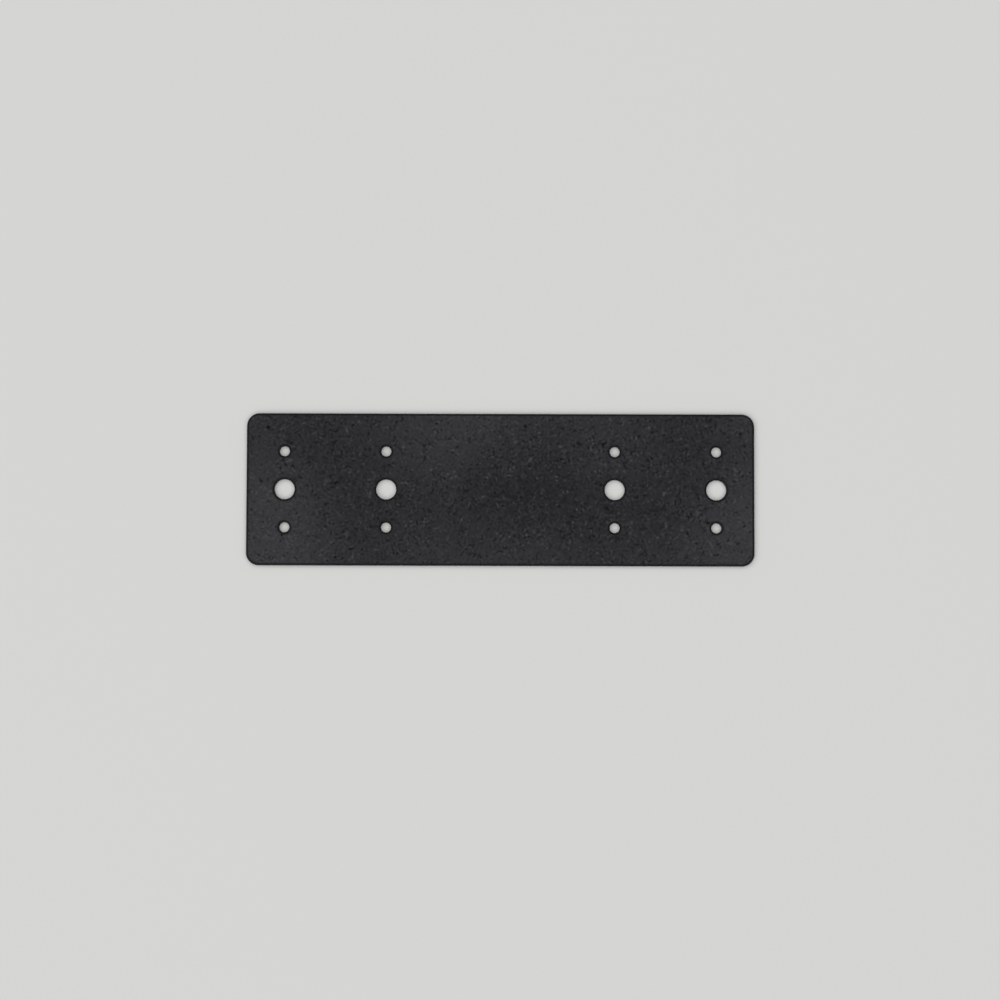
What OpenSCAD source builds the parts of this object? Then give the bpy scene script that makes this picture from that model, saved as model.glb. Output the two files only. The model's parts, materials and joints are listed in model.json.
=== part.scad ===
// Flat mending plate: a straight steel strap that ties two timbers together across a butt joint.
// Each half has two columns of holes, and a column is one bolt hole on the centre line with a screw hole
// on either side of it. Outline and holes are punched from the front, which rolls every edge over there and
// leaves it crisper at the back. The plate lies on its back face: the origin is the centre of that face,
// X runs along the length, Y across the width and Z out of the front face. All sizes are in millimetres.

/* [Plate] */
// Overall length, along X
plate_length = 254; // [220:1:400]
// Overall width, along Y
plate_width = 76.2; // [64:0.1:120]
// Thickness of the coated steel, along Z
plate_thickness = 3; // [2:0.1:6]
// Radius of the four corners of the outline
corner_radius = 6.35; // [3:0.05:12]

/* [Edges and rims] */
// Radius of the rolled edges and hole rims of the front face
front_radius = 1.2; // [0.2:0.05:1.3]
// Radius of the crisper edges and hole rims of the back face
back_radius = 0.4; // [0.2:0.05:0.6]

/* [Holes] */
// Diameter of the bolt holes on the centre line
bolt_hole_d = 10; // [6:0.1:14]
// Diameter of the screw holes beside them
screw_hole_d = 5; // [3:0.1:8]
// From an end of the plate to the middle of the nearest column
end_distance = 19.05; // [14:0.05:26]
// From one column to the next within a half
column_pitch = 50.8; // [30:0.1:60]
// From the centre line to a row of screw holes
row_offset = 19.05; // [14:0.05:24]

/* [Hidden] */
$fn = 96;

// Powder coat, near black
coat_black = [0.18, 0.18, 0.19];

// Distance that a cutter runs past each face
overrun = 1;

half_length = plate_length / 2;
half_width = plate_width / 2;
// Straight runs of the outline between its corners, measured from the centre
straight_x = half_length - corner_radius;
straight_y = half_width - corner_radius;

outer_column = half_length - end_distance;
inner_column = outer_column - column_pitch;
columns = [-outer_column, -inner_column, inner_column, outer_column];

// Half of the plate's cross-section, with y as height: from 0 out to the edge at x = reach, which is
// rounded by back_radius at the bottom and by front_radius at the top
module half_section(reach) {
    wall_top = plate_thickness - front_radius;
    translate([0, back_radius]) square([reach, wall_top - back_radius]);
    square([reach - back_radius, wall_top]);
    square([reach - front_radius, plate_thickness]);
    translate([reach - back_radius, back_radius]) circle(back_radius);
    translate([reach - front_radius, wall_top]) circle(front_radius);
}

// A straight stretch of the blank: the half section reaching out along X, swept along Y by run
module straight_side(reach, run) {
    translate([0, run / 2, 0])
        rotate([90, 0, 0])
            linear_extrude(height = run) half_section(reach);
}

// A corner of the blank: a quarter turn of the half section about the corner's own centre
module round_corner() {
    rotate_extrude(angle = 90) half_section(corner_radius);
}

// The blank before its holes: two long halves, an end strip at each end and four corners, face to face
module blank() {
    for (turn = [0, 180]) rotate([0, 0, turn]) {
        rotate([0, 0, 90]) straight_side(half_width, 2 * straight_x);
        translate([straight_x, 0, 0]) straight_side(corner_radius, 2 * straight_y);
        translate([straight_x, straight_y, 0]) round_corner();
        translate([straight_x, -straight_y, 0]) rotate([0, 0, -90]) round_corner();
    }
}

// What a punched hole takes away: a bore that opens into a rounded rim at both faces. The metal round it
// has the same section as the plate's outer edge, turned to face the bore.
module hole(diameter) {
    bore_radius = diameter / 2;
    rim_width = max(front_radius, back_radius);
    ring_width = 2 * rim_width;
    rotate_extrude() difference() {
        translate([0, -overrun]) square([bore_radius + rim_width, plate_thickness + 2 * overrun]);
        translate([bore_radius + ring_width, 0]) mirror([1, 0]) half_section(ring_width);
    }
}

module mending_plate() {
    color(coat_black) difference() {
        blank();
        for (x = columns) {
            translate([x, 0, 0]) hole(bolt_hole_d);
            for (y = [-row_offset, row_offset]) translate([x, y, 0]) hole(screw_hole_d);
        }
    }
}

mending_plate();
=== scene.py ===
# %% [markdown]
# # A black mending plate
# A mending plate is a flat strap that is bolted and screwed across a joint to hold its two sides together.
# The real one is punched from heavy steel plate in one piece and then powder coated, so there is nothing to
# assemble. What makes it look right is its softly rounded edges, its clean round holes and the fine sandy
# grain of its coat.
# The lesson goes in the order of making: sheet, holes, corners, thickness, edges, coat, floor and light.

# %% Load the fixed frame
import json
import math

import bmesh
import bpy
from mathutils import Matrix, Vector


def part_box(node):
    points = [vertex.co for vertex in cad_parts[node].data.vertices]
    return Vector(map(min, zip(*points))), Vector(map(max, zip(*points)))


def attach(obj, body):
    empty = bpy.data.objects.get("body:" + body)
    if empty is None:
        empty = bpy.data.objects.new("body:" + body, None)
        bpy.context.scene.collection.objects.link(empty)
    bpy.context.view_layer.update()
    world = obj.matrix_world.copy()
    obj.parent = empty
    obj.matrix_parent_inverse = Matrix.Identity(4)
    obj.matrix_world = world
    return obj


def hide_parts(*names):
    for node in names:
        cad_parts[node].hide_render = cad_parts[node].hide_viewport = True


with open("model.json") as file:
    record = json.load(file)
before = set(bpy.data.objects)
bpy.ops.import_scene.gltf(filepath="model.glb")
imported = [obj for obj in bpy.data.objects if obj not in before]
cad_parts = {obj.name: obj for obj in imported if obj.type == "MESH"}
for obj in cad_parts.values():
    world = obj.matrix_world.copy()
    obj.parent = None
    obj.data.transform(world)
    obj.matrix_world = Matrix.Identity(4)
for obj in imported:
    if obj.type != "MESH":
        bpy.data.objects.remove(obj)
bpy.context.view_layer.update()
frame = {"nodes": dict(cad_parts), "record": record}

# %% [markdown]
# ## Sizes
# The frame already knows how big the plate is and where each hole sits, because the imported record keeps
# every bore as a mount. The roundings can be read off the solid's own points: a flat face stops short of
# the plate's end by the radius of its edges, and a straight end stops short of the sides by the corner's.
# Reading the sizes, and not typing them again, keeps the looks and the construction together.

# %% Read the sizes
MM = 0.001
SLACK = 0.01 * MM
PLATE_NODE = "mending_plate"

plate_low, plate_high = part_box(PLATE_NODE)
length, width, thickness = plate_high - plate_low
bores = [mount for mount in frame["record"]["mounts"] if mount["kind"] == "bore"]
holes = [(Vector(bore["pos_m"]).xy, bore["dims"]["r_mm"] * MM) for bore in bores]

points = [vertex.co for vertex in frame["nodes"][PLATE_NODE].data.vertices]
on_front = [point for point in points if point.z > plate_high.z - SLACK]
on_back = [point for point in points if point.z < plate_low.z + SLACK]
on_right_end = [point for point in points if point.x > plate_high.x - SLACK]
front_radius = plate_high.x - max(point.x for point in on_front)
back_radius = plate_high.x - max(point.x for point in on_back)
corner_radius = plate_high.y - max(point.y for point in on_right_end)
print(f"plate {length / MM:.1f} x {width / MM:.1f} x {thickness / MM:.1f} mm with {len(holes)} holes")
print(f"corners {corner_radius / MM:.2f}, front {front_radius / MM:.2f}, back {back_radius / MM:.2f} mm")

# %% [markdown]
# ## Camera
# The plate is seen from almost straight above, with the camera leaning a few degrees so that its lower edge
# is a little nearer. A long lens keeps the outline square. The camera is aimed at a point on the front face
# just below the plate's middle, which puts the plate a little above the middle of the picture.

# %% Place the camera
LENS_MM = 85
SENSOR_MM = 36
IMAGE_PX = 1000
PX_PER_MM = 2.002
LEAN = math.radians(3.4)
ROLL = math.radians(0.16)
AIM = Vector((-0.2 * MM, -5.2 * MM, thickness))

view_width = IMAGE_PX / PX_PER_MM * MM
distance = view_width * LENS_MM / SENSOR_MM
turn = Matrix.Rotation(LEAN, 3, "X") @ Matrix.Rotation(ROLL, 3, "Z")

bpy.ops.object.select_all(action="DESELECT")
bpy.ops.object.camera_add(location=AIM + turn @ Vector((0, 0, distance)), rotation=turn.to_euler())
camera = bpy.context.object
camera.name = "camera"
camera.data.lens = LENS_MM
camera.data.sensor_width = SENSOR_MM
bpy.context.scene.camera = camera
print(f"camera {distance:.3f} m from the plate, {view_width / MM:.0f} mm across the picture")

# %% [markdown]
# ## The sheet
# The plate could be a box with cylinders cut out of it, but that leaves long thin triangles all over its
# faces. A sheet of small squares keeps the mesh even. All the places on this plate are whole sixteenths of
# an inch, so a grid of that pitch puts a corner of four squares exactly at the middle of every hole.

# %% Add the sheet
INCH = 25.4 * MM
PITCH = INCH / 16

bpy.ops.object.select_all(action="DESELECT")
bpy.ops.mesh.primitive_grid_add(
    x_subdivisions=round(length / PITCH), y_subdivisions=round(width / PITCH), size=1, calc_uvs=False)
plate = bpy.context.object
plate.name = "coated_plate"
plate.data.name = plate.name
plate.scale = (length, width, 1)
bpy.ops.object.transform_apply(location=True, rotation=True, scale=True)
print("sheet of", len(plate.data.polygons), "squares")

# %% [markdown]
# ## Picking by place
# With no mouse, faces and edges are picked by where they are. One helper clears the selection and then
# selects the faces or edges that pass a test.


# %% Write the picking helpers
def middle(part):
    """The middle of an edge or a face."""
    return sum((corner.co for corner in part.verts), Vector()) / len(part.verts)


def pick(kind, wanted):
    """In edit mode, select the faces or edges that pass the test, and nothing else."""
    bpy.ops.mesh.select_mode(type=kind)
    bpy.ops.mesh.select_all(action="DESELECT")
    mesh = bmesh.from_edit_mesh(plate.data)
    parts = mesh.faces if kind == "FACE" else mesh.edges
    chosen = [part for part in parts if wanted(part)]
    for part in chosen:
        part.select_set(True)
    mesh.select_flush_mode()
    bmesh.update_edit_mesh(plate.data)
    return len(chosen)


# %% [markdown]
# ## The holes
# Each hole takes a square block out of the sheet, and a circle with as many points as the block has round
# its edge is joined to it by a bridge of quads. A block is counted in squares from its middle to a side, so
# its edge is eight such half sides long. Two loops in one plane give the bridge no hint which way round they
# run, so the circle is added a little below the sheet, and everything is flattened afterwards.

# %% Open the holes
BOLT_HOLE_BLOCK = 6
SCREW_HOLE_BLOCK = 5
HALF_SIDES = 8
RINGS_IN_BRIDGE = 2
DROP = 5 * MM
FLATTEN = (1, 1, 0)
largest_hole = max(radius for centre, radius in holes)


def open_hole(centre, radius):
    """Turn the block of squares round centre into a round hole with a collar of quads."""
    block = BOLT_HOLE_BLOCK if radius == largest_hole else SCREW_HOLE_BLOCK
    reach = block * PITCH + SLACK

    def in_block(part):
        return max(abs(offset) for offset in middle(part).xy - centre) < reach

    pick("FACE", in_block)
    bpy.ops.mesh.delete(type="FACE")
    bpy.ops.mesh.primitive_circle_add(
        vertices=HALF_SIDES * block, radius=radius, location=(centre.x, centre.y, -DROP), calc_uvs=False)
    pick("EDGE", lambda edge: in_block(edge) and len(edge.link_faces) < 2)
    bpy.ops.mesh.bridge_edge_loops(number_cuts=RINGS_IN_BRIDGE, interpolation="LINEAR")


bpy.ops.object.mode_set(mode="EDIT")
for centre, radius in holes:
    open_hole(centre, radius)
bpy.ops.mesh.select_all(action="SELECT")
bpy.ops.transform.resize(value=FLATTEN, center_override=(0, 0, 0))
print("opened", len(holes), "holes")

# %% [markdown]
# ## The corners
# The corners of the outline are quarter circles. The squares beyond a corner's own centre are deleted, and
# one side of the notch is spun round that centre until it meets the other side, as a door sweeps the floor.
# Without a window the spin runs clockwise for a positive angle, so the angle is negative.

# %% Spin the corners
CORNER_STEPS = 16
QUARTER = math.pi / 2
WELD = 0.02 * MM
quadrants = [(1, 1), (-1, 1), (-1, -1), (1, -1)]

for number, (side_x, side_y) in enumerate(quadrants):
    pivot = Vector((side_x * (length / 2 - corner_radius), side_y * (width / 2 - corner_radius), 0))
    outward = Matrix.Rotation(number * QUARTER, 3, "Z") @ Vector((1, 0, 0))

    def beyond(face):
        offset = middle(face) - pivot
        return offset.x * side_x > 0 and offset.y * side_y > 0

    def on_first_side(edge):
        offsets = [corner.co - pivot for corner in edge.verts]
        ahead = all(offset.dot(outward) > -SLACK for offset in offsets)
        return ahead and all(offset.cross(outward).length < SLACK for offset in offsets)

    pick("FACE", beyond)
    bpy.ops.mesh.delete(type="FACE")
    pick("EDGE", on_first_side)
    bpy.ops.mesh.spin(steps=CORNER_STEPS, angle=-QUARTER, center=pivot, axis=(0, 0, 1))

bpy.ops.mesh.select_all(action="SELECT")
bpy.ops.mesh.remove_doubles(threshold=WELD)
bpy.ops.mesh.normals_make_consistent(inside=False)
bpy.ops.object.mode_set(mode="OBJECT")
print("outline closed with", len(plate.data.polygons), "faces")

# %% [markdown]
# ## Thickness
# A Solidify modifier is to a sheet what the rolling mill is to steel: it gives the whole outline, holes and
# all, one even thickness. The sheet is the back face, so the plate grows upwards from it.

# %% Give the sheet its thickness
GROW_UPWARDS = 1

bpy.ops.object.modifier_add(type="SOLIDIFY")
solid = plate.modifiers[-1]
solid.thickness = thickness
solid.offset = GROW_UPWARDS
bpy.ops.object.modifier_apply(modifier=solid.name)
print("plate now reaches", tuple(plate.dimensions))

# %% [markdown]
# ## Edges
# A punch rolls the metal over where it enters, so the edges and hole rims of the front are well rounded
# and those of the back are crisper. From above, the roundings are the dark line round the outline and each
# hole. Sharp edges are easy to find, because their two faces meet at a right angle. A bevel with several
# segments and a round profile turns each into a quarter circle.

# %% Round the edges and rims
EDGE_STEPS = 6
ROUND_PROFILE = 0.5
SHARP = math.radians(60)
SMOOTH = math.radians(40)


def is_sharp(edge):
    """True where two faces meet at about a right angle."""
    return len(edge.link_faces) == 2 and edge.calc_face_angle() > SHARP


bpy.ops.object.mode_set(mode="EDIT")
for face_height, radius in ((plate_high.z, front_radius), (plate_low.z, back_radius)):
    count = pick("EDGE", lambda edge: is_sharp(edge) and abs(middle(edge).z - face_height) < SLACK)
    bpy.ops.mesh.bevel(
        offset_type="OFFSET", offset=radius, segments=EDGE_STEPS, profile=ROUND_PROFILE, affect="EDGES",
        clamp_overlap=False)
    print(f"rounded {count} edges to {radius / MM:.2f} mm")
bpy.ops.mesh.select_all(action="SELECT")
bpy.ops.mesh.normals_make_consistent(inside=False)
bpy.ops.object.mode_set(mode="OBJECT")
bpy.ops.object.shade_smooth_by_angle(angle=SMOOTH)
print("finished mesh has", len(plate.data.polygons), "faces")

# %% [markdown]
# ## Shader arithmetic
# A material is a web of nodes, and sums are the commonest node in it. This small class wraps one socket, so
# that a sum in Python adds its Math nodes by itself. Every other node comes from its one node method.


# %% Write the socket class
class Wire:
    """A socket of a node web that can be added, subtracted and multiplied."""

    def __init__(self, web, socket=None):
        self.web = web
        self.socket = socket

    def node(self, kind, settings, sockets, output=None):
        """Add a node, with its settings first, fill or link its sockets, and return one of its outputs."""
        made = self.web.nodes.new(kind)
        for name, value in settings.items():
            setattr(made, name, value)
        for name, value in sockets.items():
            if isinstance(value, Wire):
                self.web.links.new(value.socket, made.inputs[name])
            else:
                made.inputs[name].default_value = value
        return Wire(self.web, None if output is None else made.outputs[output])

    def math(self, operation, first, second):
        """Join two numbers or wires in a Math node."""
        return self.node("ShaderNodeMath", {"operation": operation}, {0: first, 1: second}, 0)

    def __add__(self, other):
        return self.math("ADD", self, other)

    def __sub__(self, other):
        return self.math("SUBTRACT", self, other)

    def __mul__(self, other):
        return self.math("MULTIPLY", self, other)

    def __rsub__(self, other):
        return self.math("SUBTRACT", other, self)

    __radd__ = __add__
    __rmul__ = __mul__


def new_material(name):
    """A material with an empty web, and a wire to build on."""
    material = bpy.data.materials.new(name)
    material.use_nodes = True
    material.node_tree.nodes.clear()
    return material, Wire(material.node_tree)


# %% [markdown]
# ## The powder coat
# Powder coat is a skin of melted plastic grains. A fine-texture black sets to a sandy surface: short light
# crests and dark pits, about a millimetre long, that lie every way. Gabor noise is made of just such short
# ripples, spot by spot, and in 3D it runs over the edges and into the holes without a seam.

# %% Ripple the surface
SPOT_MM = 2.85
RIPPLES = 1.5


def both_ways(share):
    """Stretch a value between 0 and 1 so that it swings between -1 and 1."""
    return 2 * share - 1


coat, coat_web = new_material("fine_texture_black")
place = coat_web.node("ShaderNodeTexCoord", {}, {}, "Object")
ripples = coat_web.node(
    "ShaderNodeTexGabor", {"gabor_type": "3D"},
    {"Vector": place, "Scale": 1 / (SPOT_MM * MM), "Frequency": RIPPLES, "Anisotropy": 0.0}, "Value")
swell = both_ways(ripples)
print("ripples in spots of", SPOT_MM, "mm")

# %% [markdown]
# The ripples alone are too even. A slower noise makes some patches calmer than others, and adding the cube
# of the swell lifts its highest crests and sinks its deepest pits, so that a few of them stand out. A finer
# noise gives the surface its tooth. These noises are turned out of line with the plate, because a cut along
# their own lattice would show as rows.

# %% Make the grain
PATCH_MM = 9
CALMEST = 0.45
BUSIER = 1.1
CUBE_SHARE = 4
TOOTH_MM = 1.1
NOISE_TURN = (0.6, 0.7, 0.5)


def noise(where, lump_mm):
    """Smooth noise between 0 and 1, with lumps of about this size."""
    return coat_web.node(
        "ShaderNodeTexNoise", {"noise_dimensions": "3D"},
        {"Vector": where, "Scale": 1 / (lump_mm * MM), "Detail": 0.0}, "Fac")


turned = coat_web.node("ShaderNodeMapping", {}, {"Vector": place, "Rotation": NOISE_TURN}, "Vector")
busy = CALMEST + BUSIER * noise(turned, PATCH_MM)
grain = swell * (1 + CUBE_SHARE * swell * swell) * busy
tooth = noise(turned, TOOTH_MM)
print("patches of", PATCH_MM, "mm and a tooth of", TOOTH_MM, "mm")

# %% [markdown]
# ## The rolled edges and their painted shade
# Melted powder flows out smooth over a rounded edge, and the roundings turn away from the lamp, so from
# above the edges and rims show as a thin dark line. The coat's colour is blackened on them as well: painted
# shade that deepens that line. Their faces could be given a material of their own, but it would stop at a
# hard line.
# The surface's normal fades instead: it is upright on both faces, level on the walls, and slanted only on
# the roundings between them.

# %% Find the rolled edges for the painted shade
EDGE_SHADE_ONSET = 60

facing = coat_web.node("ShaderNodeTexCoord", {}, {}, "Normal")
upright = coat_web.node("ShaderNodeSeparateXYZ", {}, {"Vector": facing}, "Z")
flat = upright * upright
# Painted shade: this mask turns the coat's colour black where the surface slants on the roundings.
painted_edge_shade = coat_web.math("MINIMUM", EDGE_SHADE_ONSET * (1 - flat), 1) * flat
full_slant = math.degrees(math.asin(math.sqrt(1 / EDGE_SHADE_ONSET)))
print(f"edges are black from a slant of {full_slant:.1f} degrees")

# %% [markdown]
# ## The tone of the coat and a painted sheen
# The coat's colour is painted a little greyer towards the left end, along the middle of the upper edge and
# in
# the lower right corner: a painted sheen, where soft light falls a little brighter on the plate. One slow
# noise does that, cut where its clouds fall that way. Crests are lighter and smoother than pits. The tooth
# is too fine to model, so a Bump node leans the surface's normals by it instead.

# %% Colour the coat
# Painted sheen: the cloud size, place and share below set where the coat's colour is painted greyer.
PAINTED_SHEEN_MM = 65
PAINTED_SHEEN_PLACE = Vector((386, 3024, 3592)) * MM
PIT_BLACK = (0.001, 0.001, 0.0028, 1)
CREST_GREY = (0.036, 0.036, 0.0398, 1)
GROUND = 0.44
GRAIN_IN_TONE = 0.44
PAINTED_SHEEN_IN_TONE = 0.58
GROUND_ROUGHNESS = 0.5
GRAIN_IN_ROUGHNESS = 0.12
TOOTH_DEPTH_MM = 0.06
GLOSS = 0.19
MIX_FACTOR = 0
MIX_A = 6
MIX_B = 7
MIX_RESULT = 2

painted_sheen_cut = coat_web.node("ShaderNodeMapping", {}, {"Vector": place, "Location": PAINTED_SHEEN_PLACE}, "Vector")
# Painted sheen: the slow clouds lighten the coat's colour where soft light would fall brighter.
painted_sheen = both_ways(noise(painted_sheen_cut, PAINTED_SHEEN_MM))
# Painted shade: the tone goes to black on the roundings.
tone_with_painted_light = (GROUND + GRAIN_IN_TONE * grain + PAINTED_SHEEN_IN_TONE * painted_sheen) * (1 - painted_edge_shade)
colour = coat_web.node(
    "ShaderNodeMix", {"data_type": "RGBA"},
    {MIX_FACTOR: tone_with_painted_light, MIX_A: PIT_BLACK, MIX_B: CREST_GREY}, MIX_RESULT)
relief = coat_web.node(
    "ShaderNodeBump", {}, {"Strength": 1.0, "Distance": TOOTH_DEPTH_MM * MM, "Height": tooth}, "Normal")
skin = coat_web.node(
    "ShaderNodeBsdfPrincipled", {},
    {"Base Color": colour, "Roughness": GROUND_ROUGHNESS - GRAIN_IN_ROUGHNESS * grain,
     "Specular IOR Level": GLOSS, "Normal": relief}, "BSDF")
coat_web.node("ShaderNodeOutputMaterial", {}, {"Surface": skin})
plate.data.materials.append(coat)
print("coat has", len(coat.node_tree.nodes), "nodes")

# %% [markdown]
# ## On the frame
# The plate is one solid with no joints, so it rides on the frame's single body and stands for its one node.

# %% Seat the plate
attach(plate, "root")
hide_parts(PLATE_NODE)
print(plate.name, "stands for", PLATE_NODE)

# %% [markdown]
# ## The floor
# A plain pale floor shows the plate's outline and its shadow. One large plane will do. It lies a hair below
# the back face, because two faces in the same plane would flicker through each other. Its paint is dead
# matt, so that there is no glare on it.

# %% Lay the floor
FLOOR_SIZE = 8
FLOOR_GAP = 0.02 * MM
FLOOR_GREY = (0.68, 0.68, 0.67, 1)

bpy.ops.object.select_all(action="DESELECT")
bpy.ops.mesh.primitive_plane_add(size=FLOOR_SIZE, location=(0, 0, plate_low.z - FLOOR_GAP))
floor = bpy.context.object
floor.name = "floor"
paint, paint_web = new_material("pale_floor")
matt = paint_web.node(
    "ShaderNodeBsdfPrincipled", {},
    {"Base Color": FLOOR_GREY, "Roughness": 1.0, "Specular IOR Level": 0.0}, "BSDF")
paint_web.node("ShaderNodeOutputMaterial", {}, {"Surface": matt})
floor.data.materials.append(paint)
print("floor", FLOOR_SIZE, "m across")

# %% [markdown]
# ## The lamp
# A small lamp would throw a hard shadow and leave a bright spot on the coat. A studio's soft box is a wide
# lit sheet, and an Area light is the same. A very wide one hangs overhead, a little to the left. The face
# mirrors it as a dull sheen, while the rounded edges turn away from it and stay dark, and the plate throws a
# narrow soft shadow that is strongest on the right.

# %% Hang the lamp
LAMP_SIZE = 11.4
LAMP_PLACE = Vector((-0.66, -0.36, 5.1))
LAMP_WATTS = 532

bpy.ops.object.select_all(action="DESELECT")
bpy.ops.object.light_add(
    type="AREA", location=LAMP_PLACE, rotation=LAMP_PLACE.to_track_quat("Z", "Y").to_euler())
lamp = bpy.context.object
lamp.name = "soft_lamp"
lamp.data.size = LAMP_SIZE
lamp.data.energy = LAMP_WATTS
print("one lamp of", LAMP_WATTS, "W")

# %% [markdown]
# ## The sky
# A weak even sky fills the shadows. A camera that stands low also sees it past the floor's far edge. A wall
# built there would catch the lamp and throw light back on the plate. The Light Path node tells the camera's
# own rays from all others, so the sky looks as pale as the floor and is still a weak light. The coat is too
# dull to show a backdrop in its sheen, so its reflections keep the weak sky.

# %% Fill the sky
SKY = 0.2
BACKDROP = 0.66
WHITE = (1, 1, 1, 1)

world = bpy.data.worlds.new("sky")
world.use_nodes = True
world.node_tree.nodes.clear()
sky_web = Wire(world.node_tree)
seen = sky_web.node("ShaderNodeLightPath", {}, {}, "Is Camera Ray")
glow = sky_web.node(
    "ShaderNodeBackground", {}, {"Color": WHITE, "Strength": SKY + (BACKDROP - SKY) * seen}, "Background")
sky_web.node("ShaderNodeOutputWorld", {}, {"Surface": glow})
bpy.context.scene.world = world
bpy.context.scene.view_settings.view_transform = "Standard"
print("sky of", SKY, "as a light and of", BACKDROP, "to the camera")
